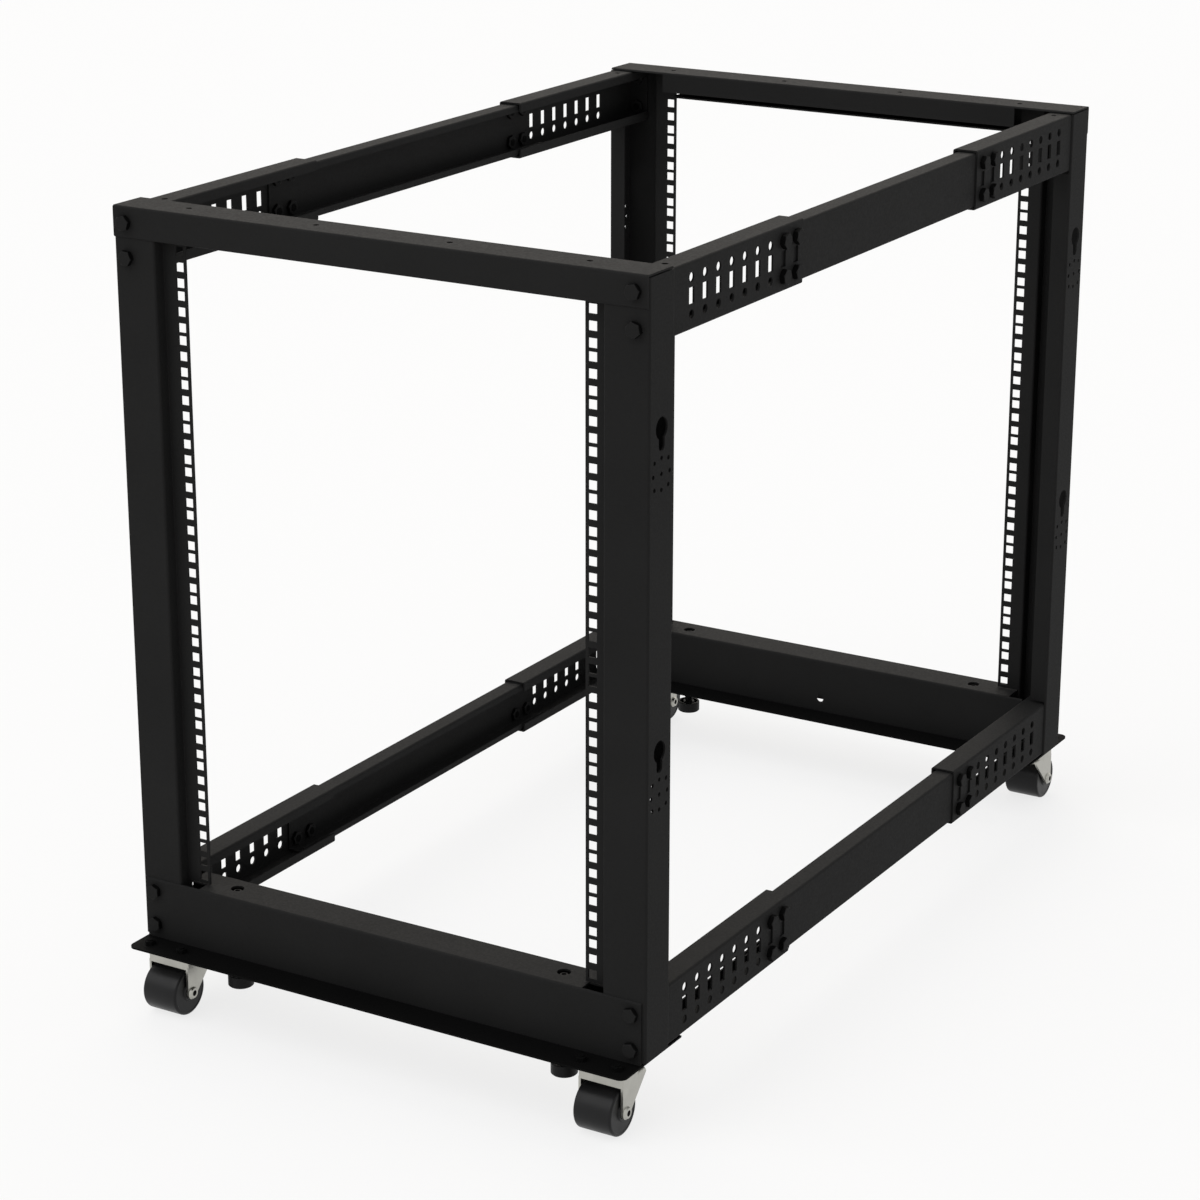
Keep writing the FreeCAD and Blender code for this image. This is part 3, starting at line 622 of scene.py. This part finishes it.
def moved_to(tree, mesh, radius, angle, height):
    """Moves vertices to a radius, an angle and a height."""
    inputs = {
        "X": math_node(tree, "MULTIPLY", radius, math_node(tree, "COSINE", angle)),
        "Y": math_node(tree, "MULTIPLY", radius, math_node(tree, "SINE", angle)),
        "Z": height,
    }
    place = add_node(tree, "ShaderNodeCombineXYZ", inputs=inputs).outputs[0]
    inputs = {"Geometry": mesh, "Position": place}
    return add_node(tree, "GeometryNodeSetPosition", inputs=inputs).outputs[0]


def thread_tree():
    """Node group that makes an open tube with a screw thread, which runs out at both ends."""
    tree, given = new_group(
        "screw thread",
        ("Core radius", "Depth", "Pitch", "Length"),
        ("Segments", "Rings"),
        ("Material",),
    )
    maths = partial(math_node, tree)
    tube, place, angle = blank_tube(tree, given["Segments"], given["Rings"])
    height = maths("MULTIPLY", maths("DIVIDE", place["Z"], 2.0), given["Length"])
    round_it = maths("DIVIDE", angle, 2 * math.pi)
    turns = maths("SUBTRACT", maths("DIVIDE", height, given["Pitch"]), round_it)
    ridge = maths("MULTIPLY", maths("PINGPONG", turns, 0.5), 2.0)
    middle_to_end = maths("MULTIPLY", given["Length"], 0.5)
    from_end = maths("SUBTRACT", middle_to_end, maths("ABSOLUTE", height))
    run_out = maths("MINIMUM", maths("DIVIDE", from_end, given["Pitch"]), 1.0)
    rise = maths("MULTIPLY", maths("MULTIPLY", ridge, run_out), given["Depth"])
    radius = maths("ADD", given["Core radius"], rise)
    cut = moved_to(tree, tube, radius, angle, height)
    inputs = {"Points": given["Geometry"], "Instance": cut}
    seats = add_node(tree, "GeometryNodeInstanceOnPoints", inputs=inputs).outputs[0]
    real = add_node(tree, "GeometryNodeRealizeInstances", inputs={0: seats}).outputs[0]
    inputs = {"Geometry": real, "Material": given["Material"]}
    dressed = add_node(tree, "GeometryNodeSetMaterial", inputs=inputs).outputs[0]
    add_node(tree, "NodeGroupOutput", inputs={0: dressed})
    return tree


def mesh_from_tree(name, tree, points, values):
    """A plain mesh from a node group that works on points; inputs are set by their names."""
    source = add_object(name + " points", points)
    modifier = source.modifiers.new("nodes", "NODES")
    modifier.node_group = tree
    for item in tree.interface.items_tree:
        if item.in_out == "INPUT" and item.name in values:
            modifier[item.identifier] = values[item.name]
    evaluated = source.evaluated_get(bpy.context.evaluated_depsgraph_get())
    mesh = bpy.data.meshes.new_from_object(evaluated)
    bpy.data.objects.remove(source)
    return mesh


def cup_rings(settings, low, rim, core):
    """Rings of a levelling foot: the cup, its well, and the hexagon that stands in it."""
    chamfer = settings.chamfer
    radius = settings.cup_width / 2
    inside = radius - settings.cup_wall
    well = rim - settings.hexagon_height
    flats = settings.across_flats
    return [
        ("round", CLOSED, low),
        ("round", radius - chamfer, low),
        ("round", radius, low + chamfer),
        ("round", radius, rim - chamfer / 2),
        ("round", radius - chamfer / 2, rim),
        ("round", inside, rim),
        ("round", inside, well),
        ("hexagon", flats, well),
        ("hexagon", flats, rim - chamfer),
        ("round", flats * HEXAGON_TOP, rim),
        ("round", core, rim),
    ]


def tip_rings(settings, top, core):
    """Rings of the upper end of a stud, with the socket for a key."""
    bottom = top - settings.socket_depth
    return [
        ("round", core, top - settings.thread_depth),
        ("round", core, top),
        ("hexagon", settings.socket, top),
        ("hexagon", settings.socket, bottom),
        ("round", CLOSED, bottom),
    ]


def stud_thread(settings, tree, centre, low, high, core):
    """Vertices and faces of the thread of a stud between two heights."""
    run = high - low
    point = bpy.data.meshes.new("stud")
    point.from_pydata([(centre.x, centre.y, low + run / 2)], [], [])
    values = {
        "Core radius": core,
        "Depth": settings.thread_depth,
        "Pitch": settings.pitch,
        "Length": run,
        "Segments": FOOT_SEGMENTS,
        "Rings": int(run / settings.pitch * THREAD_STEPS),
        "Material": finish("oxide"),
    }
    stud = mesh_from_tree("stud", tree, point, values)
    shape = [v.co.copy() for v in stud.vertices], [list(p.vertices) for p in stud.polygons]
    bpy.data.meshes.remove(stud)
    return shape


class RACK_OT_build_feet(bpy.types.Operator):
    """Turns the four levelling feet and cuts the threads of their studs"""

    bl_idname = "rack.build_feet"
    bl_label = "Levelling feet"

    def execute(self, context):
        settings = context.scene.rack_feet
        core = settings.thread_width / 2 - settings.thread_depth
        tree = thread_tree()
        for end, side in CORNERS:
            node = f"levelling_foot_{end}_{side}"
            low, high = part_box(node)
            centre = Vector(((low.x + high.x) / 2, (low.y + high.y) / 2, 0))
            rim = low.z + settings.cup_height
            cup = cup_rings(settings, low.z, rim, core)
            tip = tip_rings(settings, high.z, core)
            thread_end = high.z - settings.thread_depth
            shape = joined(
                turned(cup, FOOT_SEGMENTS, "Z", centre),
                turned(tip, FOOT_SEGMENTS, "Z", centre),
                stud_thread(settings, tree, centre, rim, thread_end, core),
            )
            piece = mesh_object(f"foot_{end}_{side}", *shape, finish("oxide"))
            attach(piece, f"{end} {side} levelling foot")
            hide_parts(node)
        return {"FINISHED"}


# ---- bolts -----------------------------------------------------------------------------------
HEAD_SEGMENTS = 48
WASHER_SEGMENTS = 32
THREAD_SEGMENTS = 20


def hexagon_tree():
    """Node group that sets a hexagon head or nut on a washer face at each point, on its thread,
    aims it along the point's "outward" direction, and turns each a little further."""
    tree, given = new_group(
        "hexagon bolts",
        (
            "Across flats",
            "Head height",
            "Washer width",
            "Washer height",
            "Thread width",
            "Thread end",
            "Largest turn",
        ),
        ("Seed",),
        ("Side material", "End material"),
    )
    maths = partial(math_node, tree)
    total = partial(maths, "ADD")
    product = partial(maths, "MULTIPLY")

    def disc(width, depth, segments):
        inputs = {"Vertices": segments, "Radius": product(width, 0.5), "Depth": depth}
        mesh = add_node(tree, "GeometryNodeMeshCylinder", inputs=inputs).outputs["Mesh"]
        lift = add_node(tree, "ShaderNodeCombineXYZ", inputs={"Z": product(depth, 0.5)}).outputs[0]
        inputs = {"Geometry": mesh, "Translation": lift}
        return add_node(tree, "GeometryNodeTransform", inputs=inputs).outputs[0]

    washer = disc(given["Washer width"], given["Washer height"], WASHER_SEGMENTS)
    # The head is three rings: the foot and the shoulder follow the hexagon, and the top is round.
    # A slope from the top ring cuts the corners down to the shoulder.
    blank, place, angle = blank_tube(tree, HEAD_SEGMENTS, 2, "NGON")
    from_flat = maths("PINGPONG", angle, HALF_SIDE)
    corner = maths("DIVIDE", product(given["Across flats"], 0.5), maths("COSINE", from_flat))
    top = product(given["Across flats"], HEXAGON_TOP)
    is_top = maths("GREATER_THAN", place["Z"], 0.5)
    is_foot = maths("LESS_THAN", place["Z"], -0.5)
    below_top = maths("SUBTRACT", 1.0, is_top)
    radius = total(product(corner, below_top), product(top, is_top))
    slope = product(maths("SUBTRACT", corner, top), math.tan(CHAMFER_SLOPE))
    shoulder = maths("SUBTRACT", given["Head height"], product(slope, below_top))
    height = product(shoulder, maths("SUBTRACT", 1.0, is_foot))
    head = moved_to(tree, blank, radius, angle, total(height, given["Washer height"]))
    # The end of a head and its chamfer can have another finish than its flats; the darker material
    # of the flats is painted shade.
    normal = add_node(tree, "GeometryNodeInputNormal").outputs[0]
    rise = add_node(tree, "ShaderNodeSeparateXYZ", inputs={0: normal}).outputs["Z"]
    head = add_node(
        tree,
        "GeometryNodeStoreNamedAttribute",
        {"data_type": "BOOLEAN", "domain": "FACE"},
        {"Geometry": head, "Name": "end", "Value": maths("GREATER_THAN", rise, 0.5)},
    ).outputs[0]
    head_end = total(given["Washer height"], given["Head height"])
    thread_end = total(head_end, given["Thread end"])
    thread = disc(given["Thread width"], thread_end, THREAD_SEGMENTS)
    inputs = {0: [washer, head, thread]}
    bolt = add_node(tree, "GeometryNodeJoinGeometry", inputs=inputs).outputs[0]
    outward = add_node(
        tree,
        "GeometryNodeInputNamedAttribute",
        {"data_type": "FLOAT_VECTOR"},
        {"Name": "outward"},
    ).outputs[0]
    aim = add_node(
        tree, "FunctionNodeAlignRotationToVector", {"axis": "Z"}, {"Vector": outward}
    ).outputs[0]
    inputs = {3: given["Largest turn"], "Seed": given["Seed"]}
    random_turn = add_node(
        tree, "FunctionNodeRandomValue", {"data_type": "FLOAT"}, inputs
    ).outputs[1]
    inputs = {"Axis": (0, 0, 1), "Angle": random_turn}
    spin = add_node(tree, "FunctionNodeAxisAngleToRotation", inputs=inputs).outputs[0]
    rotation = add_node(
        tree, "FunctionNodeRotateRotation", {"rotation_space": "LOCAL"}, {0: aim, 1: spin}
    ).outputs[0]
    inputs = {"Points": given["Geometry"], "Instance": bolt, "Rotation": rotation}
    placed = add_node(tree, "GeometryNodeInstanceOnPoints", inputs=inputs).outputs[0]
    real = add_node(tree, "GeometryNodeRealizeInstances", inputs={0: placed}).outputs[0]
    is_end = add_node(
        tree, "GeometryNodeInputNamedAttribute", {"data_type": "BOOLEAN"}, {"Name": "end"}
    ).outputs[0]
    # Painted shade: the whole bolt takes the darker side material first, then its ends take the
    # end material.
    inputs = {"Geometry": real, "Material": given["Side material"]}
    dressed = add_node(tree, "GeometryNodeSetMaterial", inputs=inputs).outputs[0]
    inputs = {"Geometry": dressed, "Selection": is_end, "Material": given["End material"]}
    dressed = add_node(tree, "GeometryNodeSetMaterial", inputs=inputs).outputs[0]
    add_node(tree, "NodeGroupOutput", inputs={0: dressed})
    return tree


def hexagons(name, body, seats, end_material, **sizes):
    """Bolt heads or nuts on a body; each seat is a point and the direction of its outer end."""
    tree = bpy.data.node_groups.get("hexagon bolts") or hexagon_tree()
    points = bpy.data.meshes.new(name)
    points.from_pydata([tuple(p) for p, _ in seats], [], [])
    outward = points.attributes.new("outward", "FLOAT_VECTOR", "POINT")
    outward.data.foreach_set("vector", [c for _, d in seats for c in d])
    settings = bpy.context.scene.rack_bolts
    values = {
        "Across flats": settings.across_flats,
        "Head height": settings.head_height,
        "Washer width": settings.washer_width,
        "Washer height": settings.washer_height,
        "Thread width": settings.thread_width,
        "Thread end": -settings.thread_sunk,
        "Largest turn": settings.largest_turn,
        "Seed": 7,
        # Flats, washer and thread take the darkened coat: painted shade on the sides of the heads.
        "Side material": finish("thin"),
        "End material": end_material,
    }
    values.update(sizes)
    mesh = mesh_from_tree(name, tree, points, values)
    obj = add_object(name, mesh)
    mesh.shade_smooth()
    mesh.set_sharp_from_angle(angle=BOLT_SMOOTH_UP_TO)
    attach(obj, body)
    return obj


class RACK_OT_add_frame_bolts(bpy.types.Operator):
    """Adds the bolts of the posts and of the side rails, with their nuts inside"""

    bl_idname = "rack.add_frame_bolts"
    bl_label = "Frame bolts"

    def execute(self, context):
        heads = []
        nuts = []
        for end in ENDS:
            ey = end_sign(end)
            out = Vector((0, ey, 0))
            bar_low, bar_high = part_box(f"top_crossbar_{end}")
            base_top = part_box(f"base_channel_{end}")[1].z
            post_low, post_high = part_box(f"post_{end}_right")
            bar_face = bar_low.y if ey < 0 else bar_high.y
            post_face = post_low.y if ey < 0 else post_high.y
            first, second = BAR_BOLT_DROPS
            places = [(bar_high.z - first, bar_face), (bar_high.z - second, post_face)]
            places += [(base_top - drop, bar_face) for drop in BASE_BOLT_DROPS]
            for side in SIDES:
                sx = side_sign(side)
                x = sx * (post_high.x - POST_BOLT_INSET)
                for z, y in places:
                    heads.append((Vector((x, y, z)), out))
                    nuts.append((Vector((x, post_face - ey * 2 * SHEET, z)), -out))
                for level in ("upper", "lower"):
                    low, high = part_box(f"{level}_bracket_{end}_{side}")
                    middle = (low.z + high.z) / 2
                    web = low.x if side == "left" else high.x
                    free = high.y if ey < 0 else low.y
                    across = Vector((sx, 0, 0))
                    for margin in RAIL_BOLT_MARGINS:
                        for row in (-RAIL_BOLT_ROW, RAIL_BOLT_ROW):
                            y = free + ey * margin
                            heads.append((Vector((web, y, middle + row)), across))
                            inside = Vector((web - sx * 2 * SHEET, y, middle + row))
                            nuts.append((inside, -across))
        settings = context.scene.rack_bolts
        nut = {"Head height": settings.nut_height, "Thread end": settings.thread_out, "Seed": 11}
        hexagons("frame_bolts", RACK, heads, finish("coat"))
        hexagons("frame_nuts", RACK, nuts, finish("coat"), **nut)
        return {"FINISHED"}


class RACK_OT_add_caster_bolts(bpy.types.Operator):
    """Adds the four bolts of each caster: nuts above, and flat heads clear of the fork below"""

    bl_idname = "rack.add_caster_bolts"
    bl_label = "Caster bolts"

    def execute(self, context):
        settings = context.scene.rack_casters
        up = Vector((0, 0, 1))
        reach_x, reach_y = CASTER_BOLT_REACH
        nuts = []
        heads = []
        for end in ENDS:
            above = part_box(f"foot_plate_{end}")[0].z + SHEET
            for side in SIDES:
                low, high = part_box(f"caster_plate_{end}_{side}")
                middle = (low + high) / 2
                below = high.z - CASTER_SHEET
                for across in (-reach_x, reach_x):
                    for along in (-reach_y, reach_y):
                        x, y = middle.x + across, middle.y + along
                        nuts.append((Vector((x, y, above)), up))
                        heads.append((Vector((x, y, below)), -up))
        sizes = {
            "Across flats": settings.bolt_flats,
            "Washer width": settings.bolt_flats * CASTER_BOLT_WASHER,
            "Washer height": settings.bolt_washer,
            "Thread width": settings.bolt_flats * CASTER_BOLT_THREAD,
            "Seed": 3,
        }
        nut = {"Head height": settings.bolt_height, "Thread end": settings.thread_out}
        flat = {"Head height": settings.flat_head}
        # The caster nuts take the darkened coat all over: painted shade, like that of the foot
        # plate strip.
        hexagons("caster_nuts", RACK, nuts, finish("thin"), **sizes, **nut)
        hexagons("caster_bolts", RACK, heads, finish("oxide"), **sizes, **flat)
        return {"FINISHED"}


# ---- stage -----------------------------------------------------------------------------------
SENSOR_WIDTH = 36  # millimetres
VIEW_REACH = 100  # metres that the camera sees
FLOOR_REACH = 40.0
LAMP_WIDTH = math.radians(60)
# Name, strength, colour, azimuth from the camera's towards the right, and elevation.
LAMPS = (
    ("key", 1.05, "#FFFFFF", math.radians(-62), math.radians(50)),
    ("top", 0.85, "#FFF3E2", math.radians(180), math.radians(38)),
)


def add_camera(settings):
    """The camera, aimed from its azimuth, elevation and distance."""
    camera = bpy.data.cameras.new("camera")
    camera.lens = settings.lens
    camera.sensor_width = SENSOR_WIDTH
    camera.shift_x, camera.shift_y = settings.shift
    camera.clip_end = VIEW_REACH
    obj = add_object("camera", camera)
    azimuth, elevation = settings.azimuth, settings.elevation
    level = math.cos(elevation)
    away = (math.sin(azimuth) * level, -math.cos(azimuth) * level, math.sin(elevation))
    away = Vector(away)
    obj.location = Vector(settings.look_at) + away * settings.distance
    obj.rotation_euler = away.to_track_quat("Z", "Y").to_euler()
    bpy.context.scene.camera = obj


def add_lamp(name, energy, colour, azimuth, elevation):
    """A large soft lamp far off; its azimuth runs from the front towards the right."""
    lamp = bpy.data.lights.new(name, "SUN")
    lamp.energy = energy
    lamp.color = srgb(colour)[:3]
    lamp.angle = LAMP_WIDTH
    obj = add_object(name, lamp)
    obj.rotation_euler = (math.radians(90) - elevation, 0, azimuth)


def seen_or_mirrored(tree):
    """1 for rays from the camera and mirrored or passed-on rays, 0 for light on things."""
    path = add_node(tree, "ShaderNodeLightPath").outputs
    seen = math_node(tree, "MAXIMUM", path["Is Camera Ray"], path["Is Glossy Ray"])
    return math_node(tree, "MAXIMUM", seen, path["Is Transmission Ray"])


def light_world(settings):
    """A white room, bright overhead and dimmer towards the horizon; seen, it is like the floor."""
    world = bpy.data.worlds.new("studio")
    bpy.context.scene.world = world
    world.use_nodes = True
    tree = world.node_tree
    tree.nodes.clear()
    place = add_node(tree, "ShaderNodeTexCoord").outputs["Generated"]
    height = add_node(tree, "ShaderNodeSeparateXYZ", inputs={0: place}).outputs["Z"]
    inputs = {"Value": height, "From Min": 0.0, "From Max": 1.0}
    inputs.update({"To Min": settings.room_low, "To Max": settings.room_high})
    level = add_node(tree, "ShaderNodeMapRange", inputs=inputs).outputs["Result"]
    inputs = {"Color": (1, 1, 1, 1), "Strength": level}
    room = add_node(tree, "ShaderNodeBackground", inputs=inputs).outputs[0]
    inputs = {"Color": settings.floor, "Strength": 1.0}
    pale = add_node(tree, "ShaderNodeBackground", inputs=inputs).outputs[0]
    inputs = {0: seen_or_mirrored(tree), 1: room, 2: pale}
    mixed = add_node(tree, "ShaderNodeMixShader", inputs=inputs).outputs[0]
    add_node(tree, "ShaderNodeOutputWorld", inputs={"Surface": mixed})


def pale_floor(settings):
    """Pale even floor; as seen or mirrored, part of it is plain, so that shadows lie softly."""
    material, tree, shader = new_material("pale floor")
    shader.inputs["Base Color"].default_value = settings.floor
    shader.inputs["Roughness"].default_value = 0.9
    shader.inputs["Specular IOR Level"].default_value = 0.1
    inputs = {"Color": settings.floor, "Strength": 1.0}
    plain = add_node(tree, "ShaderNodeEmission", inputs=inputs).outputs[0]
    share = math_node(tree, "MULTIPLY", seen_or_mirrored(tree), settings.floor_white)
    inputs = {0: share, 1: shader.outputs[0], 2: plain}
    mixed = add_node(tree, "ShaderNodeMixShader", inputs=inputs).outputs[0]
    tree.links.new(mixed, tree.nodes["Material Output"].inputs["Surface"])
    return material


class RACK_OT_build_stage(bpy.types.Operator):
    """Adds the floor, the light and the camera"""

    bl_idname = "rack.build_stage"
    bl_label = "Stage"

    def execute(self, context):
        scene = context.scene
        settings = scene.rack_stage
        add_camera(settings)
        light_world(settings)
        far = FLOOR_REACH
        corners = [(-far, -far, 0), (far, -far, 0), (far, far, 0), (-far, far, 0)]
        floor = mesh_object("floor", corners, [(0, 1, 2, 3)], pale_floor(settings), smooth=False)
        for name, energy, colour, azimuth, elevation in LAMPS:
            add_lamp(name, energy, colour, settings.azimuth + azimuth, elevation)
        scene.view_settings.view_transform = "Standard"
        return {"FINISHED"}


# ---- sidebar ---------------------------------------------------------------------------------
OPERATORS = (
    RACK_OT_coat_frame,
    RACK_OT_plate_casters,
    RACK_OT_build_wheels,
    RACK_OT_add_aprons,
    RACK_OT_build_feet,
    RACK_OT_add_frame_bolts,
    RACK_OT_add_caster_bolts,
    RACK_OT_build_stage,
)
SETTINGS = {
    "rack_finish": FinishSettings,
    "rack_bolts": BoltSettings,
    "rack_casters": CasterSettings,
    "rack_feet": FootSettings,
    "rack_stage": StageSettings,
}


class RACK_PT_sidebar(bpy.types.Panel):
    """Settings and steps of the rack's finish"""

    bl_idname = "RACK_PT_sidebar"
    bl_label = "Open frame rack"
    bl_space_type = "VIEW_3D"
    bl_region_type = "UI"
    bl_category = "Rack"

    def draw(self, context):
        for group in SETTINGS:
            box = self.layout.box()
            settings = getattr(context.scene, group)
            for name in settings.bl_rna.properties.keys():
                if name not in ("rna_type", "name"):
                    box.prop(settings, name)
        for operator in OPERATORS:
            self.layout.operator(operator.bl_idname)


def register():
    for group in SETTINGS.values():
        bpy.utils.register_class(group)
    for name, group in SETTINGS.items():
        setattr(bpy.types.Scene, name, bpy.props.PointerProperty(type=group))
    for cls in OPERATORS + (RACK_PT_sidebar,):
        bpy.utils.register_class(cls)


def unregister():
    for cls in reversed(OPERATORS + (RACK_PT_sidebar,)):
        bpy.utils.unregister_class(cls)
    for name in SETTINGS:
        delattr(bpy.types.Scene, name)
    for group in reversed(list(SETTINGS.values())):
        bpy.utils.unregister_class(group)


def main():
    register()
    for operator in OPERATORS:
        group, name = operator.bl_idname.split(".")
        getattr(getattr(bpy.ops, group), name)()


if __name__ == "__main__":
    main()
